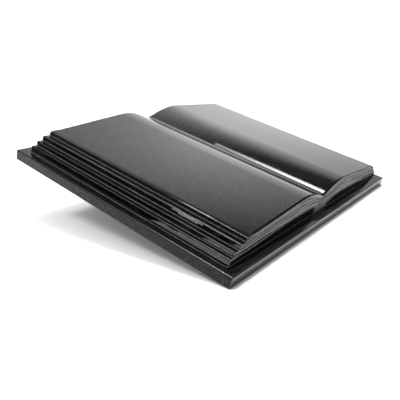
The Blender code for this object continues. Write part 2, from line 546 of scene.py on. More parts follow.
@dataclass(frozen=True)
class GraniteFinish:
    """One finish of the black granite: how its crystals show, and how it shines.

    The cloud and the grain are the scale and detail of two noises, and patchy is how far each of
    them moves the crystals' colour. Each lie is the squeeze and the turn of one set of crystals.
    """

    name: str
    dark: Triple
    light: Triple
    roughness: Pair
    bump: float
    shine: float = 0.5
    oxide: float = 0.0
    crystal: float = 900.0
    cloud: Pair = (70.0, 3.0)
    grain: Pair = (2400.0, 2.0)
    ior: float = 1.55
    lies: tuple[tuple[Triple, Triple], ...] = (
        ((1.0, 0.38, 0.75), (0.2, 0.5, 0.6)),
        ((0.42, 1.0, 0.8), (0.3, -0.4, 2.2)),
        ((3.1, 3.1, 3.1), (0.9, 0.1, 1.3)),
    )
    patchy: Pair = (0.14, 0.25)
    first_pale: Pair = (0.72, 0.96)
    second_pale: Pair = (0.70, 0.96)
    paleness: float = 0.6
    oxide_patchy: float = 0.3
    oxide_found: Pair = (0.945, 0.97)
    rough_spread: Pair = (0.35, 0.65)
    lath_bump: float = 0.4
    bump_height: float = 0.0001

    def laths(self, bench: Bench, squeeze: Triple, turn: Triple) -> Value:
        """Crystals that lie one way, about 1.1 mm over the squeeze long along each axis.

        Args:
            bench: Where the nodes are made.
            squeeze: Scale along each axis; a small one draws the crystals out.
            turn: Turn of the crystals about each axis.

        Returns:
            A number from 0 to 1, the same all over each crystal.
        """
        where = bench.place(squeeze, turn)
        cells = bench.node("ShaderNodeTexVoronoi", {}, {"Vector": where, "Scale": self.crystal})
        return bench.value("ShaderNodeSeparateColor", {}, {"Color": cells.outputs["Color"]})

    def material(self) -> bpy.types.Material:
        """Stone of dark crystals, some pale ones, and fine bright grains of oxide.

        Returns:
            The material.
        """
        made, bench = new_material(self.name)
        where = bench.place((1.0, 1.0, 1.0), (-BookFrame.tilt, 0.0, 0.0))
        first, second, speck = (self.laths(bench, *lie) for lie in self.lies)
        cloud, grain = (
            bench.value("ShaderNodeTexNoise", {}, {"Vector": where, "Scale": scale, "Detail": detail})
            for scale, detail in (self.cloud, self.grain)
        )
        patch = (cloud - 0.5) * self.patchy[0] + (grain - 0.5) * self.patchy[1]
        pale = (first + patch).over(*self.first_pale) * self.paleness
        pale = pale + (second + patch).over(*self.second_pale) * self.paleness
        colour = bench.blend(pale, (*self.dark, 1.0), (*self.light, 1.0))
        oxide = (speck + patch * self.oxide_patchy).over(*self.oxide_found) * self.oxide
        colour = bench.blend(oxide, colour, OXIDE)
        spread = (grain * 0.5 + cloud * 0.5).over(*self.rough_spread)
        smooth, coarse = self.roughness
        rough = smooth + spread * (coarse - smooth)
        height = (grain - 0.5) * self.bump + (first - 0.5) * (self.bump * self.lath_bump)
        hollows = {"Height": height, "Distance": self.bump_height, "Strength": 1.0}
        bump = bench.node("ShaderNodeBump", {}, hollows)
        looks = {
            "Base Color": colour, "Metallic": oxide, "Roughness": rough, "IOR": self.ior,
            "Specular IOR Level": self.shine, "Normal": bump.outputs[0],
        }
        shader = bench.node("ShaderNodeBsdfPrincipled", {}, looks)
        bench.finish(shader.outputs[0])
        return made


# One for each surface, in their order
FINISHES = (
    GraniteFinish(
        "polished black granite", (0.0004, 0.0004, 0.00045), (0.0065, 0.0065, 0.0068),
        roughness=(0.03, 0.06), bump=0.006, oxide=1.0,
    ),
    # Honed: the end bands and the panels' sides, and also a painted highlight on one step of the left
    # page
    GraniteFinish(
        "honed granite", (0.122, 0.122, 0.123), (0.215, 0.215, 0.217),
        roughness=(0.42, 0.60), bump=0.3,
    ),
    GraniteFinish(
        "sawn granite", (0.060, 0.060, 0.063), (0.13, 0.13, 0.135),
        roughness=(0.50, 0.65), bump=1.0,
    ),
    # Dull black: the cover's sides, and also painted shade in the end bands' cuts and leaf lines
    GraniteFinish(
        "dull black granite", (0.0020, 0.0020, 0.0022), (0.026, 0.026, 0.027),
        roughness=(0.22, 0.36), bump=0.05, shine=0.16, oxide=0.3,
    ),
    GraniteFinish(
        "unpolished corner", (0.055, 0.055, 0.057), (0.115, 0.115, 0.118),
        roughness=(0.40, 0.55), bump=0.2, shine=0.3,
    ),
)


@dataclass
class Carving:
    """Part of the memorial, which builds its pieces and dresses them."""

    book: BookFrame
    materials: list[bpy.types.Material]
    node = "granite_book"
    slot = "polished_black_granite"

    def carve(self, name: str, rings: np.ndarray, numbers: np.ndarray, caps: Surface) -> None:
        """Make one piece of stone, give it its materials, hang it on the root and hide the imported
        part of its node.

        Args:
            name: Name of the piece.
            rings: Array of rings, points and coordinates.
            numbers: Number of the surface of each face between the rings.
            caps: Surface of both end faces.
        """
        piece = stone_mesh(name, rings, numbers, caps)
        for material in self.materials:
            piece.data.materials.append(material)
        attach(piece, "root")
        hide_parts(self.node)
        log.info("%s: %d faces", piece.name, len(piece.data.polygons))


# The pages and their stepped edges


@dataclass(frozen=True)
class PageShape:
    """Sizes of the page block above the cover, and the curves that follow from them.

    Each tier is how far the top edge of a step lies in from the cover's side, and its height.
    """

    half_width: float = 0.1655
    fore_height: float = 0.0213
    rise: float = 0.077
    curl_width: float = 0.056
    gutter_drop: float = 0.01544
    gutter_round: float = 0.0034
    roll_width: float = 0.006
    roll_drop: float = 0.00035
    tiers: Stations = (
        (0.0345, 0.0213), (0.0250, 0.0175), (0.0173, 0.0123), (0.0109, 0.0076)
    )
    dish: tuple[float, ...] = (0.00062, 0.00025, 0.00020, 0.0)
    draft: float = math.tan(math.radians(10.0))
    page_edge: float = 0.00040
    tier_arris: float = 0.00095
    tier_fillet: float = 0.0005
    foot_round: float = 0.0012
    foot_sunk: float = 0.00002
    tongue: float = 1.8
    end_ledge: float = 0.0108
    band_setback: float = 0.0016
    fine_width: float = 0.040
    columns: tuple[int, ...] = (110, 12, 34, 12)
    pitch: float = 0.0011
    arc_steps: int = 8

    def height(self, distance: np.ndarray) -> np.ndarray:
        """Height of the page face at a distance from the gutter.

        The page climbs from the fore-edge at a steady slope, curls over near the gutter along a
        quarter of a sine, and rolls off by a hair at its outer edge. The bottom of the gutter
        is hollowed by the wheel along a parabola.

        Args:
            distance: Distances from the gutter.

        Returns:
            Heights over the cover.
        """
        hollow = self.gutter_round
        distance = np.where(distance < hollow, 0.5 * (hollow + distance**2 / hollow), distance)
        line = self.fore_height + self.rise * (self.half_width - distance)
        curl = 1.0 - np.sin(0.5 * math.pi * np.minimum(1.0, distance / self.curl_width))
        roll = np.maximum(0.0, (distance - self.half_width) / self.roll_width + 1.0)
        return line - self.gutter_drop * curl - self.roll_drop * roll * roll

    def band(self) -> float:
        """Distance of the dull end face from the cover's end."""
        return self.end_ledge + self.band_setback

    def fore_corners(self, half_cover: float, sunk: float) -> np.ndarray:
        """Corners of the steps on the right, from the page's edge down into the cover.

        Each ledge is a little lower at its inner corner than at its edge, as the wheel leaves
        it. The last step ends in a flat tongue a hair under the cover's face.

        Args:
            half_cover: Half the cover's width.
            sunk: How far the last corner lies under the cover's face.

        Returns:
            One corner per row.
        """
        corners = []
        for i, (inset, top) in enumerate(self.tiers):
            below = self.tiers[i + 1][1] if i + 1 < len(self.tiers) else -self.foot_sunk
            below -= self.dish[i]
            x = half_cover - inset
            top = float(self.height(np.array(self.half_width))) if i == 0 else top
            corners.append((x, top))
            corners.append((x + self.draft * (top - below), below))
        tip = corners[-1][0] + self.foot_round * self.tongue
        corners += [(tip, corners[-1][1]), (tip, -sunk)]
        return np.array(corners)

    def right_outline(self, half_cover: float, sunk: float) -> np.ndarray:
        """Right half of the page block's outline, from the gutter into the cover.

        Args:
            half_cover: Half the cover's width.
            sunk: How far the last corner lies under the cover's face.

        Returns:
            The points in order.
        """
        roll_start = self.half_width - self.roll_width
        page_end = self.half_width - 2.0 * self.tier_arris
        stops = (0.0, self.fine_width, self.curl_width, roll_start, page_end)
        s = np.concatenate([
            np.linspace(low, high, count, endpoint=high == page_end)
            for low, high, count in zip(stops, stops[1:], self.columns)
        ])
        page = np.stack([s, self.height(s)], axis=1)
        corners = np.concatenate([page[-1:], self.fore_corners(half_cover, sunk)])
        radii = [self.page_edge] + [self.tier_fillet, self.tier_arris] * 3
        radii += [self.tier_fillet, self.foot_round]
        steps = polyline(corners, radii, self.pitch, self.arc_steps)
        return np.concatenate([page, steps[1:]])

    def outline(self, half_cover: float, sunk: float) -> np.ndarray:
        """Whole outline from the left foot over both pages to the right foot.

        Args:
            half_cover: Half the cover's width.
            sunk: How far both feet lie under the cover's face.

        Returns:
            The points in order.
        """
        right = self.right_outline(half_cover, sunk)
        left = right[:0:-1] * np.array([-1.0, 1.0])
        return np.concatenate([left, right])


@dataclass(frozen=True)
class EndRelief:
    """What is cut into the dull band at the head and tail of the pages."""

    groove_depth: float = 0.0025
    floor: Stations = (
        (0.0960, 0.0113), (0.1300, 0.0092), (0.1650, 0.0071), (0.1860, 0.0082)
    )
    ceiling: Stations = (
        (0.0960, 0.0113), (0.1300, 0.0107), (0.1650, 0.0088), (0.1860, 0.0090)
    )
    left_notch: Stations = (
        (-0.0090, 0.0075), (-0.0090, 0.0099), (0.0024, 0.0096)
    )
    right_notch: Stations = (
        (0.0235, 0.0064), (0.0390, 0.0118), (0.0265, 0.0100)
    )
    notch_side: Pair = (-0.00005, 0.00025)
    slit_open: float = 0.0004
    knee: float = 0.0060
    row_counts: tuple[int, int, int] = (6, 18, 5)
    leaves: int = 4
    leaf_shares: Triple = (0.0, 0.15, 0.50)
    leaf_depth: float = 0.0008
    # Cuts deeper than this share of the groove are painted black as shade
    painted_shade_from: float = 0.35
    lip: float = 0.00005
    apart: float = 0.00025

    def rows(self, distance: np.ndarray, bottom: float, shape: PageShape) -> np.ndarray:
        """Heights of the rows of points on the end face.

        The rows run parallel to the slit's floor and ceiling low down and to the page face high
        up, three to each engraved leaf, so that every cut lies along a row.

        Args:
            distance: Distance of each column from the gutter.
            bottom: Height of the lowest row.
            shape: The page's curves.

        Returns:
            Array of columns and rows.
        """
        low = height_along(self.floor, distance)
        high = height_along(self.ceiling, distance)
        shut = self.apart * (1.0 - smooth_step(0.0, 2.0 * self.apart, high - low))
        low, high = low - shut, high + shut
        lip = self.lip
        page = shape.height(np.minimum(distance, shape.half_width))
        page = page + np.maximum(0.0, distance - shape.half_width) * -shape.rise
        feet, nears, inners = self.row_counts
        foot = bottom + np.linspace(0.0, 1.0, feet)[None, :-1] * (self.knee - bottom)
        foot = np.broadcast_to(foot, (len(distance), feet - 1))
        near = self.knee + (low - lip - self.knee)[:, None] * np.linspace(0.0, 1.0, nears)[None]
        inner = np.linspace(low + lip, high - lip, inners, axis=1)
        share = (np.arange(self.leaves)[:, None] + np.array(self.leaf_shares)).ravel()
        share = np.append(share / self.leaves, 1.0)[None]
        upper = (high + lip)[:, None] + (page - high - lip)[:, None] * share
        return np.concatenate([foot, near, inner, upper], axis=1)

    def depth(self, x: np.ndarray, z: np.ndarray) -> np.ndarray:
        """Depth of the slit and the notches at points of the end face.

        The slit is as deep as it can be reached between its floor and ceiling, and each notch
        is a triangle that falls to full depth just inside its sides.

        Args:
            x: Signed distances from the gutter.
            z: Heights over the cover.

        Returns:
            Depths in metres.
        """
        s = np.abs(x)
        low = height_along(self.floor, s)
        high = height_along(self.ceiling, s)
        gap = np.minimum(z - low, high - z)
        reach = smooth_step(0.0, self.slit_open, high - low) * self.groove_depth
        slit = np.where(gap > 0.0, reach, 0.0)
        left = self.notch(self.left_notch, x, z)
        return np.maximum(slit, np.maximum(left, self.notch(self.right_notch, x, z)))

    def notch(self, corners: Stations, x: np.ndarray, z: np.ndarray) -> np.ndarray:
        """Depth of one triangular notch.

        Args:
            corners: The triangle, as signed distances from the gutter and heights.
            x: Signed distances from the gutter.
            z: Heights over the cover.

        Returns:
            Depths in metres.
        """
        tips = np.array(corners)
        inside = np.full(np.shape(x), 1.0)
        turn = np.cross(tips[1] - tips[0], tips[2] - tips[0])
        for i in range(3):
            leg = tips[(i + 1) % 3] - tips[i]
            away = (leg[0] * (z - tips[i][1]) - leg[1] * (x - tips[i][0])) / np.linalg.norm(leg)
            inside = np.minimum(inside, np.sign(turn) * away)
        return smooth_step(*self.notch_side, inside) * self.groove_depth


@dataclass
class PageBlock(Carving):
    """Both pages, the gutter, the stepped fore-edges and the dull end bands, in one piece.

    The painted highlight and its size are given along the book, out from the left page's edge, and
    up.
    """

    shape: PageShape
    relief: EndRelief
    sunk: float = 0.0026
    bottom: float = -0.0036
    page_arris: float = 0.0029
    flat_arris: float = 0.0014
    step_arris: float = 0.00080
    flat_from: Pair = (0.030, 0.060)
    step_from: Pair = (0.014, 0.004)
    arris_share: float = 0.76
    arris_power: float = 1.5
    arris_steps: int = 6
    leaf_free: Pair = (0.0002, 0.0008)
    leaf_waver: float = 0.38
    waver_length: float = 0.05
    waver_apart: float = 0.037
    waver_seeds: tuple[int, int] = (1, 2)
    top_rows: int = 46
    # Painted highlight: a pale honed lens on one step of the left page, with the rows crowded round
    # it, its middle, its size and its span
    painted_highlight_rows: int = 12
    painted_highlight: Triple = (0.071, 0.0100, 0.0163)
    painted_highlight_size: Triple = (0.021, 0.0010, 0.0015)
    painted_highlight_span: Pair = (-1.1, 1.0)
    wave: float = 0.00007
    wave_length: float = 0.034
    wave_across: float = 2.5
    wave_apart: float = 0.3
    wave_side: Pair = (-0.003, 0.001)
    wave_ends: Pair = (0.012, 0.030)
    wave_seed: int = 5

    def build(self) -> None:
        """Loft the block from one closed profile per point of its outline.

        Each profile runs up the tail band, over an eased edge, along the top to the head, and
        down again.
        """
        outline = self.shape.outline(self.book.width / 2.0, self.sunk)
        normals = outward_normals(outline, False)
        ease = self.ease(outline)
        inner = outline - normals * ease[:, None]
        rows = self.relief.rows(np.abs(inner[:, 0]), self.bottom, self.shape)
        z = np.minimum(rows, inner[:, 1:2])
        z[:, -1] = inner[:, 1]
        x = np.broadcast_to(inner[:, 0:1], z.shape)
        faces = (self.end_face(x, z, seed) for seed in self.waver_seeds)
        tail, head = (
            np.concatenate([face, self.end_arc(outline, normals, ease, face)], axis=1)
            for face in faces
        )
        along = self.top_run(outline, normals, tail[:, -1, 1], head[:, -1, 1])
        turned = head * np.array([1.0, -1.0, 1.0]) + np.array([0.0, self.book.length, 0.0])
        rings = np.concatenate([tail, along, turned[:, ::-1]], axis=1)
        rings[..., 2] += self.book.cover
        numbers = self.surfaces(rings, outline, self.relief.depth(x, z))
        self.carve("page_block", self.book.place(rings), numbers, Surface.POLISHED)

    def ease(self, outline: np.ndarray) -> np.ndarray:
        """How far the edge of each end is rounded in at each point of the outline.

        It is most along the left page and the curl of the right one, and least at the steps.

        Args:
            outline: The block's outline.

        Returns:
            One length per point.
        """
        x = outline[:, 0]
        flat = smooth_step(*self.flat_from, x)
        page = self.page_arris + (self.flat_arris - self.page_arris) * flat
        first, last = (self.shape.half_width - away for away in self.step_from)
        blend = 1.0 - smooth_step(first, last, np.abs(x))
        return self.step_arris + (page - self.step_arris) * blend

    def surfaces(self, rings: np.ndarray, outline: np.ndarray, cuts: np.ndarray) -> np.ndarray:
        """Finish of each face: dull end bands and inner corners, the rest polished.

        An inner corner is where the outline turns left, seen on the steps alone. A cut deeper
        than about a third of the slit is painted black as shade in the cut, and the lower side of
        each leaf line is painted dark as shade and dust in the groove. A pale honed lens on one step
        of the left page is a painted highlight.

        Args:
            rings: The block's points over the cover's underside.
            outline: The block's outline.
            cuts: Depth of the cuts at the points of an end band.

        Returns:
            Number of the surface of each face between the rings.
        """
        rows, around = cuts.shape[1], rings.shape[1]
        legs = np.diff(outline, axis=0)
        turn = np.zeros(len(outline))
        turn[1:-1] = legs[:-1, 0] * legs[1:, 1] - legs[:-1, 1] * legs[1:, 0]
        hollow = (turn > LEFT_TURN) & (np.abs(outline[:, 0]) > self.shape.half_width)
        numbers = side_numbers(rings, Surface.POLISHED)
        numbers[hollow[:-1] & hollow[1:]] = Surface.CORNER.value
        # Painted highlight: a pale honed lens on one step of the left page
        middle = 0.5 * (rings[:-1] + rings[1:])
        left, up = -middle[..., 0] - self.shape.half_width, middle[..., 2] - self.book.cover
        away = np.stack([middle[..., 1], left, up], axis=-1)
        lens = (((away - np.array(self.painted_highlight)) / np.array(self.painted_highlight_size)) ** 2).sum(axis=-1) < 1.0
        numbers[lens] = Surface.HONED_AND_PAINTED_HIGHLIGHT.value
        numbers[:, : rows - 1] = Surface.HONED_AND_PAINTED_HIGHLIGHT.value
        numbers[:, around - rows :] = Surface.HONED_AND_PAINTED_HIGHLIGHT.value
        # Painted shade and dust: the lower side of each leaf line is painted dark
        line = self.leaf_rows(rows)[1:]
        numbers[:, : rows - 1][:, line] = Surface.DULL_AND_PAINTED_SHADE.value
        numbers[:, around - rows : around - 1][:, line[::-1]] = Surface.DULL_AND_PAINTED_SHADE.value
        # Painted shade: cuts deeper than a share of the groove are painted black
        cut = 0.25 * (cuts[:-1, :-1] + cuts[1:, :-1] + cuts[:-1, 1:] + cuts[1:, 1:])
        black = cut > self.relief.painted_shade_from * self.relief.groove_depth
        numbers[:, : rows - 1][black] = Surface.DULL_AND_PAINTED_SHADE.value
        numbers[:, around - rows : around - 1][black[:, ::-1]] = Surface.DULL_AND_PAINTED_SHADE.value
        return numbers

    def leaf_rows(self, rows: int) -> np.ndarray:
        """Rows with a leaf line: over the slit, the second one of each leaf but the lowest.

        Args:
            rows: Number of rows.

        Returns:
            True for each row with a line.
        """
        each = len(self.relief.leaf_shares)
        above = np.arange(rows) - (rows - each * self.relief.leaves - 1)
        return ((above % each) == 1) & (above > 1)

    def end_face(self, x: np.ndarray, z: np.ndarray, seed: int) -> np.ndarray:
        """Points of one end band, with its cuts and leaf lines, whose depth wavers.

        Args:
            x: Signed distances from the gutter.
            z: Heights over the cover.
            seed: Seed of the waver.

        Returns:
            Array of columns, rows and (x, depth, height) coordinates.
        """
        line = self.leaf_rows(z.shape[1])
        free = smooth_step(*self.leaf_free, z[:, -1:] - z)
        number = np.broadcast_to(np.cumsum(line) * self.waver_apart, z.shape)
        waver = self.leaf_waver * (ripple(x, number, self.waver_length, seed) - 1.0) + 1.0
        leaf = self.relief.leaf_depth * line[None, :] * waver * free
        y = self.shape.band() + np.maximum(self.relief.depth(x, z), leaf)
        return np.stack([x, y, z], axis=-1)

    def end_arc(
        self, outline: np.ndarray, normals: np.ndarray, ease: np.ndarray, face: np.ndarray
    ) -> np.ndarray:
        """Eased edge between one end band and the faces along the book.

        At an angle t of the quarter turn it stands ease (1 - sin t ^ k) in from the outline
        and arris_share x ease (1 - cos t ^ k) in from the band, where k is 2 / arris_power.

        Args:
            outline: The block's outline.
            normals: Its normals.
            ease: How far the edge is rounded in at each point.
            face: Points of the band.

        Returns:
            Array of columns, rows and (x, depth, height) coordinates.
        """
        turn = np.linspace(0.0, 0.5 * math.pi, self.arris_steps + 1)[1:]
        power = 2.0 / self.arris_power
        inset = ease[:, None] * (1.0 - np.sin(turn) ** power)
        flat = outline[:, None] - normals[:, None] * inset[..., None]
        stand = 1.0 - np.maximum(np.cos(turn), 0.0) ** power
        y = face[:, -1:, 1] + self.arris_share * ease[:, None] * stand
        return np.stack([flat[..., 0], y, flat[..., 1]], axis=-1)

    def top_run(
        self, outline: np.ndarray, normals: np.ndarray, tail: np.ndarray, head: np.ndarray
    ) -> np.ndarray:
        """Rows along the pages between the two eased ends, closer near them and at the painted
        highlight.

        On the steps each point moves along its normal by the wave times a ripple, since they
        are cut by hand.

        Args:
            outline: The block's outline.
            normals: Its normals.
            tail: Depth at which each column starts.
            head: How far from the head it ends.

        Returns:
            Array of columns, rows and (x, depth, height) coordinates.
        """
        share = 0.5 - 0.5 * np.cos(math.pi * np.linspace(0.0, 1.0, self.top_rows + 2)[1:-1])
        middle, reach = self.painted_highlight[0] / self.book.length, self.painted_highlight_size[0] / self.book.length
        first, last = (middle + span * reach for span in self.painted_highlight_span)
        share = np.sort(np.concatenate([share, np.linspace(first, last, self.painted_highlight_rows)]))
        far = self.book.length - head
        y = tail[:, None] + share[None] * (far - tail)[:, None]
        side = np.abs(outline[:, :1])
        beyond = side - self.shape.half_width
        depth = beyond + (self.shape.fore_height - outline[:, 1:])
        ends = smooth_step(*self.wave_ends, y) * smooth_step(*self.wave_ends, self.book.length - y)
        across = depth * self.wave_across + np.sign(outline[:, :1]) * self.wave_apart
        lift = ripple(y, across, self.wave_length, self.wave_seed) * self.wave
        push = smooth_step(*self.wave_side, beyond) * ends * lift
        x = outline[:, :1] + normals[:, :1] * push
        z = outline[:, 1:] + normals[:, 1:] * push
        return np.stack([x, y, z], axis=-1)


@dataclass
class EndPanels(Carving):
    """The four panels under the arch of the pages, polished but for the shelf on top."""

    shape: PageShape
    left_arch: Stations = (
        (0.0175, 0.0096), (0.0320, 0.0108), (0.0500, 0.0112), (0.0750, 0.0111),
        (0.1050, 0.0094), (0.1360, 0.0074), (0.1900, 0.0048),
    )
    right_arch: Stations = (
        (0.0175, 0.0052), (0.0250, 0.0067), (0.0320, 0.0084), (0.0400, 0.0096), (0.0500, 0.0102),
        (0.0750, 0.0104), (0.1050, 0.0091), (0.1360, 0.0070), (0.1900, 0.0048),
    )
    spine_foot: float = 0.0185
    side_inset: float = 0.0004
    arris: float = 0.00015
    arris_steps: int = 4
    sunk: float = 0.0015
    lean: float = math.tan(math.radians(4.0))
    pivot: float = 0.0055
    recess: float = 0.0008
    buried: float = 0.0015
    columns: int = 70
    crown_round: float = 0.0004
    pitch: float = 0.001
    cove: float = 0.0005
    cove_behind: float = 0.0006
    cove_under: float = 0.0004
    cove_rise: float = 0.9
    cove_ends: Pair = (0.0002, 0.0004)
    cove_counts: tuple[int, int] = (60, 7)

    def outline(self, arch: Stations) -> np.ndarray:
        """Closed outline of one panel on the right, clockwise from its spine foot.

        Args:
            arch: Distances from the gutter and heights of its upper edge.

        Returns:
            The points in order.
        """
        top = arch[-1][1]
        tier_inset, tier_top = self.shape.tiers[-1]
        draft = self.shape.draft
        outer = self.book.width / 2.0 - tier_inset + draft * tier_top - self.side_inset
        crown = np.linspace(self.spine_foot, outer - draft * top, self.columns)
        curve = np.stack([crown, height_along(arch, crown)], axis=1)
        side = np.array([[self.spine_foot, -self.sunk], curve[0], curve[1]])
        fall = np.array([curve[-2], curve[-1], [outer + draft * self.sunk, -self.sunk]])
        left, right = (
            polyline(corners, [self.crown_round], self.pitch, self.arris_steps)
            for corners in (side, fall)
        )
        return np.concatenate([left[:-1], curve[1:-1], right[1:]])

    def build(self) -> None:
        """Loft each panel between the ledge and the band, with the hollow at its foot."""
        near, far = self.shape.end_ledge + self.recess, self.shape.band() + self.buried
        for side, sign, arch in (("left", -1.0, self.left_arch), ("right", 1.0, self.right_arch)):
            outline = self.outline(arch)
            rings = prism_rings(outline, near, far, self.arris, self.arris_steps)
            front = rings[..., 1] < 0.5 * (near + far)
            rings[..., 1] += self.lean * (self.pivot - rings[..., 2]) * front
            coves = self.cove_rings(near + self.lean * self.pivot, outline[:, 0].max())
            numbers = side_numbers(rings, Surface.POLISHED)
            numbers[self.arris_steps + 1] = Surface.HONED_AND_PAINTED_HIGHLIGHT.value
            self.pair("panel", side, sign, rings, numbers, Surface.POLISHED)
            numbers = side_numbers(coves, Surface.CORNER)
            self.pair("cove", side, sign, coves, numbers, Surface.CORNER)

    def pair(
        self, part: str, side: str, sign: float, form: np.ndarray, numbers: np.ndarray, caps: Surface
    ) -> None:
        """Carve one form at the tail and, mirrored, at the head.

        Args:
            part: What the form is.
            side: Side of the gutter, for the name.
            sign: -1 to mirror the form to the left, 1 to keep it on the right.
            form: Rings of points over the cover.
            numbers: Number of the surface of each face between the rings.
            caps: Surface of both end faces.
        """
        for end in ("tail", "head"):
            points = form * np.array([sign, 1.0, 1.0]) + np.array([0.0, 0.0, self.book.cover])
            if end == "head":
                points[..., 1] = self.book.length - points[..., 1]
            self.carve(f"{end}_{part}_{side}", self.book.place(points), numbers, caps)

    def cove_rings(self, face: float, reach: float) -> np.ndarray:
        """Dull hollow along the foot of the right-hand panel, where the pads can't reach.

        Its section is a quarter circle of the cove's radius about (face - r, r), backed by two
        straight sides inside the stone.

        Args:
            face: Depth of the panel's face at its foot.
            reach: Distance of the panel's far end from the gutter.

        Returns:
            Array of rings, points and (x, depth, height) coordinates.
        """
        r = self.cove
        under, behind = -self.cove_under, face + self.cove_behind
        columns, points = self.cove_counts
        turn = np.linspace(0.0, 0.5 * math.pi, points)
        arc = np.stack([face - r + r * np.cos(turn), r - r * np.sin(turn)], axis=1)
        back = np.array([[face - r, under], [behind, under], [behind, r * self.cove_rise]])
        section = np.concatenate([arc, back])
        first, last = self.cove_ends
        x = np.linspace(self.spine_foot + first, reach - last, columns)
        rings = np.broadcast_to(section[None], (len(x), len(section), 2))
        across = np.broadcast_to(x[:, None], rings.shape[:2])
        return np.stack([across, rings[..., 0], rings[..., 1]], axis=-1)


# The cover and the rest


@dataclass
class CoverSlab(Carving):
    """The cover: a flat slab with rounded arrises, polished on top and at its ends."""

    corner: float = 0.0012
    trim: float = 0.00004
    pitch: float = 0.008
    steps: int = 6
    dull_side: float = 0.0001
    sawn_foot: float = 0.00005

    def build(self) -> None:
        """Loft the slab along its length from one rounded outline."""
        half, top = self.book.width / 2.0, self.book.cover
        corners = np.array(
            [[0.0, 0.0], [-half, 0.0], [-half, top], [half, top], [half, 0.0], [0.0, 0.0]]
        )
        outline = polyline(corners, [self.corner] * 4, self.pitch, self.steps)[:-1]
        far = self.book.length - self.trim
        rings = prism_rings(outline, self.trim, far, self.book.arris, self.steps)
        middle = 0.5 * (np.roll(rings, -1, axis=1) + rings)[:-1]
        numbers = side_numbers(rings, Surface.POLISHED)
        numbers[np.abs(middle[..., 0]) > half - self.dull_side] = Surface.DULL_AND_PAINTED_SHADE.value
        numbers[middle[..., 2] < self.sawn_foot] = Surface.SAWN.value
        self.carve("cover_slab", self.book.place(rings), numbers, Surface.POLISHED)


@dataclass
class WedgeRest(Carving):
    """The block under the raised head, its top cut to the slope of the book."""

    width: float = 0.120
    front: float = 0.196
    back: float = 0.268
    arris: float = 0.0015
    corner: float = 0.0018
    pitch: float = 0.006
    steps: int = 6
    gap: float = 0.0003
    node = "wedge_rest"
    slot = "honed_black_granite"

    def build(self) -> None:
        """Loft the block across its width from one rounded outline."""
        y = np.array([self.front, self.back])
        top = y * math.tan(self.book.tilt) - self.book.drop() - self.gap / math.cos(self.book.tilt)
        y = y + self.book.depth_shift()
        foot = [y.mean(), 0.0]
        corners = np.array([foot, [y[0], 0.0], [y[0], top[0]], [y[1], top[1]], [y[1], 0.0], foot])
        outline = polyline(corners, [self.corner] * 4, self.pitch, self.steps)[:-1]
        half = self.width / 2.0
        rings = prism_rings(outline, -half, half, self.arris, self.steps)[..., [1, 0, 2]]
        self.carve("rest_block", rings, side_numbers(rings, Surface.SAWN), Surface.SAWN)


# The studio


@dataclass(frozen=True)
class Screen:
    """Where the diffusing screen stands and how its light is spread, in metres over the sheet."""

    azimuth: float = math.radians(40.0)
    rise: float = math.radians(20.0)
    aim: Triple = (0.0, 0.006, 0.0594)
    away: float = 0.5
    across: Pair = (-0.40, 0.80)
    above: Pair = (-0.215, 0.56)
    peak: float = 2.7
    ground: float = 0.30
    wide: float = 0.98
    wide_middle: float = 0.22
    wide_size: float = 0.42
    spot: float = 0.55
    spot_middle: Pair = (0.17, 0.12)
    spot_size: Pair = (0.14, 0.10)
    top: Pair = (0.20, 0.47)
    top_loss: float = 0.94
    foot: Pair = (-0.14, -0.02)
    foot_gain: float = 0.45

    def corners(self) -> np.ndarray:
        """Its four corners: the aim, plus a step away, plus across and above along the sheet.

        Returns:
            One corner per row.
        """
        sine, cosine = math.sin(self.azimuth), math.cos(self.azimuth)
        flat, steep = math.cos(self.rise), math.sin(self.rise)
        out = np.array([sine * flat, cosine * flat, steep])
        up = np.array([-sine * steep, -cosine * steep, flat])
        u = np.array(self.across)[[0, 1, 1, 0]]
        v = np.array(self.above)[[0, 0, 1, 1]]
        middle = np.array(self.aim) + self.away * out
        return middle + u[:, None] * np.cross(out, up) + v[:, None] * up

    def level(self, u: Value, v: Value) -> Value:
        """Light of a broad glow that fades out above, plus a soft hot spot.

        Args:
            u: Place across the sheet, 0 to 1.
            v: Place up the sheet, 0 to 1.

        Returns:
            The light given there.
        """
        across = u * (self.across[1] - self.across[0]) + self.across[0]
        above = v * (self.above[1] - self.above[0]) + self.above[0]
        sides = zip((across, above), self.spot_middle, self.spot_size)
        first, second = (((place - middle) / size) ** 2.0 for place, middle, size in sides)
        wide = ((across - self.wide_middle) / self.wide_size) ** 2.0
        glow = self.ground + self.wide * wide.fade() + self.spot * (first + second).fade()
        top = 1.0 - above.over(*self.top) * self.top_loss
        return glow * top * (1.0 + (1.0 - above.over(*self.foot)) * self.foot_gain)


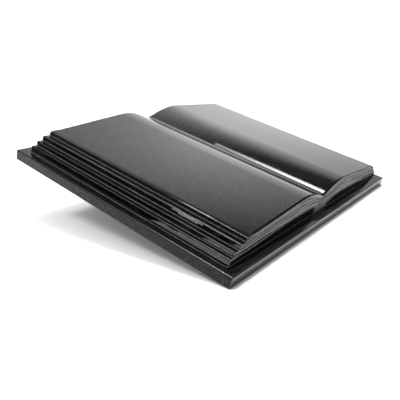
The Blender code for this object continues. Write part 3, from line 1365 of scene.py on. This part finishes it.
@dataclass
class Studio:
    """Plain pale floor, soft lights and the camera at the photograph's angle."""

    lens: float = 44.43
    sensor: float = 36.0
    near_clip: float = 0.01
    eye: Triple = (-0.513996, -0.347288, 0.199647)
    azimuth: float = 53.288
    fall: float = 17.848
    reach: float = 12.0
    floor_colour: float = 0.85
    floor_glow: float = 0.90
    floor_fade: Pair = (0.35, 1.8)
    dome_share: float = 0.9
    dome_rise: Pair = (-2.0, 89.0)
    dome_counts: tuple[int, int] = (48, 14)
    dome_light: float = 1.05
    screen: Screen = Screen()
    box_middle: Pair = (0.332, 0.113)
    box_size: Pair = (0.354, 0.41)
    box_turn: float = 8.2
    box_light: Pair = (16.5, 3.5)
    box_fade: Pair = (0.1, 1.0)
    lamps: tuple[tuple[str, Triple, float, float], ...] = (
        ("top", (-0.06, 0.12, 1.6), 0.40, 0.50),
        ("rear", (-0.718, 0.474, 0.892), 0.24, 0.28),
        ("side", (-1.05, 0.20, 0.62), 0.50, 0.06),
    )
    flag_foot: tuple[Triple, Triple] = ((-0.36, -0.28, 0.0), (-0.68, 0.66, 0.0))
    flag_height: float = 0.12
    flag_light: float = 0.01
    ambient: float = 0.10
    overhead: float = 2.8
    overhead_rise: Pair = (0.78, 0.96)
    overhead_away: Pair = (0.87, 0.5)
    overhead_side: Pair = (0.05, 0.35)
    left: float = 0.6
    left_rise: Pair = (0.05, 0.25)
    left_towards: Pair = (-0.9, 0.45)
    left_side: Pair = (0.35, 0.8)

    def put_up(
        self, name: str, mesh: bpy.types.Mesh, material: bpy.types.Material, *unseen: str
    ) -> None:
        """Add one part of the studio.

        Args:
            name: Its name.
            mesh: Its shape.
            material: Its only material.
            unseen: Kinds of ray that don't meet it.
        """
        mesh.materials.append(material)
        item = link(name, mesh)
        self.hide(item, *unseen)

    def hide(self, item: bpy.types.Object, *rays: str) -> None:
        """Keep an object out of the named kinds of ray."""
        for ray in rays:
            setattr(item, f"visible_{ray}", False)

    def sheet(
        self, name: str, corners: np.ndarray, material: bpy.types.Material, *unseen: str
    ) -> None:
        """Flat sheet between four corners, with a UV map that runs along its sides.

        Args:
            name: Its name.
            corners: One corner per row.
            material: Its only material.
            unseen: Kinds of ray that don't meet it.
        """
        mesh = bpy.data.meshes.new(name)
        mesh.from_pydata(corners.tolist(), [], [[0, 1, 2, 3]])
        chart = mesh.uv_layers.new(name="sheet")
        chart.data.foreach_set("uv", [0.0, 0.0, 1.0, 0.0, 1.0, 1.0, 0.0, 1.0])
        self.put_up(name, mesh, material, *unseen)

    def glow(self, name: str, level: Any, peak: float, clear: bool = False) -> bpy.types.Material:
        """Material that only gives light.

        Args:
            name: Name of the material.
            level: None for the peak everywhere, or a function of (u, v) that gives the light
                at a place of the sheet.
            peak: Most light that it gives.
            clear: Whether what lies behind shows through.

        Returns:
            The material.
        """
        made, bench = new_material(name)
        light = {"Color": WHITE, "Strength": peak}
        if level:
            chart = bench.node("ShaderNodeUVMap", {"uv_map": "sheet"}, {}).outputs[0]
            parts = bench.node("ShaderNodeSeparateXYZ", {}, {"Vector": chart}).outputs
            light = bench.light(level(Value(bench, parts[0]), Value(bench, parts[1])), peak)
        surface = bench.node("ShaderNodeEmission", {}, light).outputs[0]
        if clear:
            film = bench.node("ShaderNodeBsdfTransparent", {}, {}).outputs[0]
            surface = bench.node("ShaderNodeAddShader", {}, {0: surface, 1: film}).outputs[0]
        bench.finish(surface)
        return made

    def put_camera(self) -> None:
        """Level camera that looks along its azimuth, turned down by its fall."""
        lens = bpy.data.cameras.new("camera")
        lens.lens = self.lens
        lens.sensor_width = self.sensor
        lens.clip_start = self.near_clip
        item = link("camera", lens)
        item.location = self.eye
        item.rotation_euler = (math.radians(90.0 - self.fall), 0.0, math.radians(-self.azimuth))
        bpy.context.scene.camera = item

    def lay_floor(self) -> None:
        """Pale matt floor, which glows a little far from the object as a lit room would."""
        made, bench = new_material("floor")
        where = bench.place((1.0, 1.0, 1.0), (0.0, 0.0, 0.0))
        away = bench.value("ShaderNodeVectorMath", {"operation": "LENGTH"}, {0: where}, "Value")
        glow = bench.light(away.over(*self.floor_fade) * self.floor_glow, self.floor_glow)
        shade = (self.floor_colour,) * 3 + (1.0,)
        chalk = bench.node("ShaderNodeBsdfDiffuse", {}, {"Color": shade}).outputs[0]
        table = bench.node("ShaderNodeEmission", {}, glow).outputs[0]
        bench.finish(bench.node("ShaderNodeAddShader", {}, {0: chalk, 1: table}).outputs[0])
        side = np.array([[-1.0, -1.0, 0.0], [1.0, -1.0, 0.0], [1.0, 1.0, 0.0], [-1.0, 1.0, 0.0]])
        self.sheet("floor", side * self.reach, made)

    def hang_backdrop(self) -> None:
        """White dome that only the camera sees, so the room beyond the floor stays white.

        It is half a sphere: radius times (cos e cos a, cos e sin a, sin e) over the azimuth a
        and the elevation e.
        """
        around, levels = self.dome_counts
        azimuth = np.linspace(0.0, TAU, around, endpoint=False)
        a, e = np.meshgrid(azimuth, np.radians(np.linspace(*self.dome_rise, levels)))
        points = np.stack([np.cos(e) * np.cos(a), np.cos(e) * np.sin(a), np.sin(e)], axis=-1)
        points = (points * self.reach * self.dome_share).reshape(-1, 3)
        faces = tube_faces(levels, around)
        mesh = bpy.data.meshes.new("backdrop")
        mesh.from_pydata(points.tolist(), [], faces[:-2] + faces[-1:])
        glow = self.glow("backdrop", None, self.dome_light)
        self.put_up("backdrop", mesh, glow, "diffuse", "glossy", "transmission", "shadow")

    def stand_screen(self) -> None:
        """Diffusing screen behind and to the right, brightest low in its middle."""
        glow = self.glow("screen", self.screen.level, self.screen.peak, True)
        self.sheet("screen", self.screen.corners(), glow, "camera", "shadow")

    def stand_flag(self) -> None:
        """Black screen on the far left that only the polished stone sees in its steps."""
        foot = np.array(self.flag_foot)
        corners = np.concatenate([foot, foot[::-1] + np.array([0.0, 0.0, self.flag_height])])
        glow = self.glow("flag", None, self.flag_light)
        self.sheet("flag", corners, glow, "camera", "diffuse", "transmission", "shadow")

    def hang_softbox(self) -> None:
        """Bright overhead softbox a metre up, brighter at its near end than at its far end."""
        near, far = self.box_light
        turn = math.radians(self.box_turn)
        side = np.array([[-0.5, -0.5], [-0.5, 0.5], [0.5, 0.5], [0.5, -0.5]]) * self.box_size
        spin = np.array([[math.cos(turn), math.sin(turn)], [-math.sin(turn), math.cos(turn)]])
        corners = np.concatenate([side @ spin + self.box_middle, np.ones((4, 1))], axis=1)

        def level(along: Value, across: Value) -> Value:
            """Light given at each place of the softbox, the same across it."""
            return near - along.over(*self.box_fade) * (near - far)

        self.sheet("softbox", corners, self.glow("softbox", level, near), "camera")

    def hang_lamp(self, name: str, middle: Triple, size: float, level: float) -> None:
        """Soft lamp that lights the floor and doesn't show in the polish.

        Args:
            name: Name of the lamp.
            middle: Where it hangs; it faces the origin.
            size: Its diameter.
            level: How much it brightens the floor at the origin.
        """
        lamp = bpy.data.lights.new(name, "AREA")
        lamp.shape = "DISK"
        lamp.size = size
        aim = Vector(middle)
        lamp.energy = level * (math.pi * aim.length) ** 2 / self.floor_colour * aim.length / aim.z
        item = link(name, lamp)
        item.location = middle
        item.rotation_euler = (-aim).to_track_quat("-Z", "Y").to_euler()
        self.hide(item, "camera", "glossy")

    def fill_room(self) -> None:
        """Surroundings that are dim round the sides, brighter at the left and overhead."""
        world = bpy.data.worlds.new("surroundings")
        world.use_nodes = True
        bpy.context.scene.world = world
        bench = Bench(world.node_tree)
        where = bench.node("ShaderNodeTexCoord", {}, {}).outputs["Generated"]
        parts = bench.node("ShaderNodeSeparateXYZ", {}, {"Vector": where}).outputs
        x, y, z = (Value(bench, part) for part in parts)
        right, back = self.overhead_away
        free = 1.0 - (x * right + y * back).over(*self.overhead_side)
        overhead = z.over(*self.overhead_rise) * free * self.overhead
        right, back = self.left_towards
        left = (x * right + y * back).over(*self.left_side) * z.over(*self.left_rise) * self.left
        peak = self.ambient + self.overhead + self.left
        light = bench.light(self.ambient + overhead + left, peak)
        bench.finish(bench.node("ShaderNodeBackground", {}, light).outputs[0], "World")

    def build(self) -> None:
        """Put up the whole studio."""
        bpy.context.scene.view_settings.view_transform = "Standard"
        self.put_camera()
        self.lay_floor()
        self.hang_backdrop()
        self.stand_screen()
        self.stand_flag()
        self.hang_softbox()
        for lamp in self.lamps:
            self.hang_lamp(*lamp)
        self.fill_room()


def main() -> None:
    """Build every piece in order and report it."""
    logging.basicConfig(level=logging.INFO, format="%(name)s: %(message)s")
    book, shape = BookFrame(), PageShape()
    materials = [finish.material() for finish in FINISHES]
    PageBlock(book, materials, shape, EndRelief()).build()
    EndPanels(book, materials, shape).build()
    CoverSlab(book, materials).build()
    WedgeRest(book, materials).build()
    Studio().build()


if __name__ == "__main__":
    main()
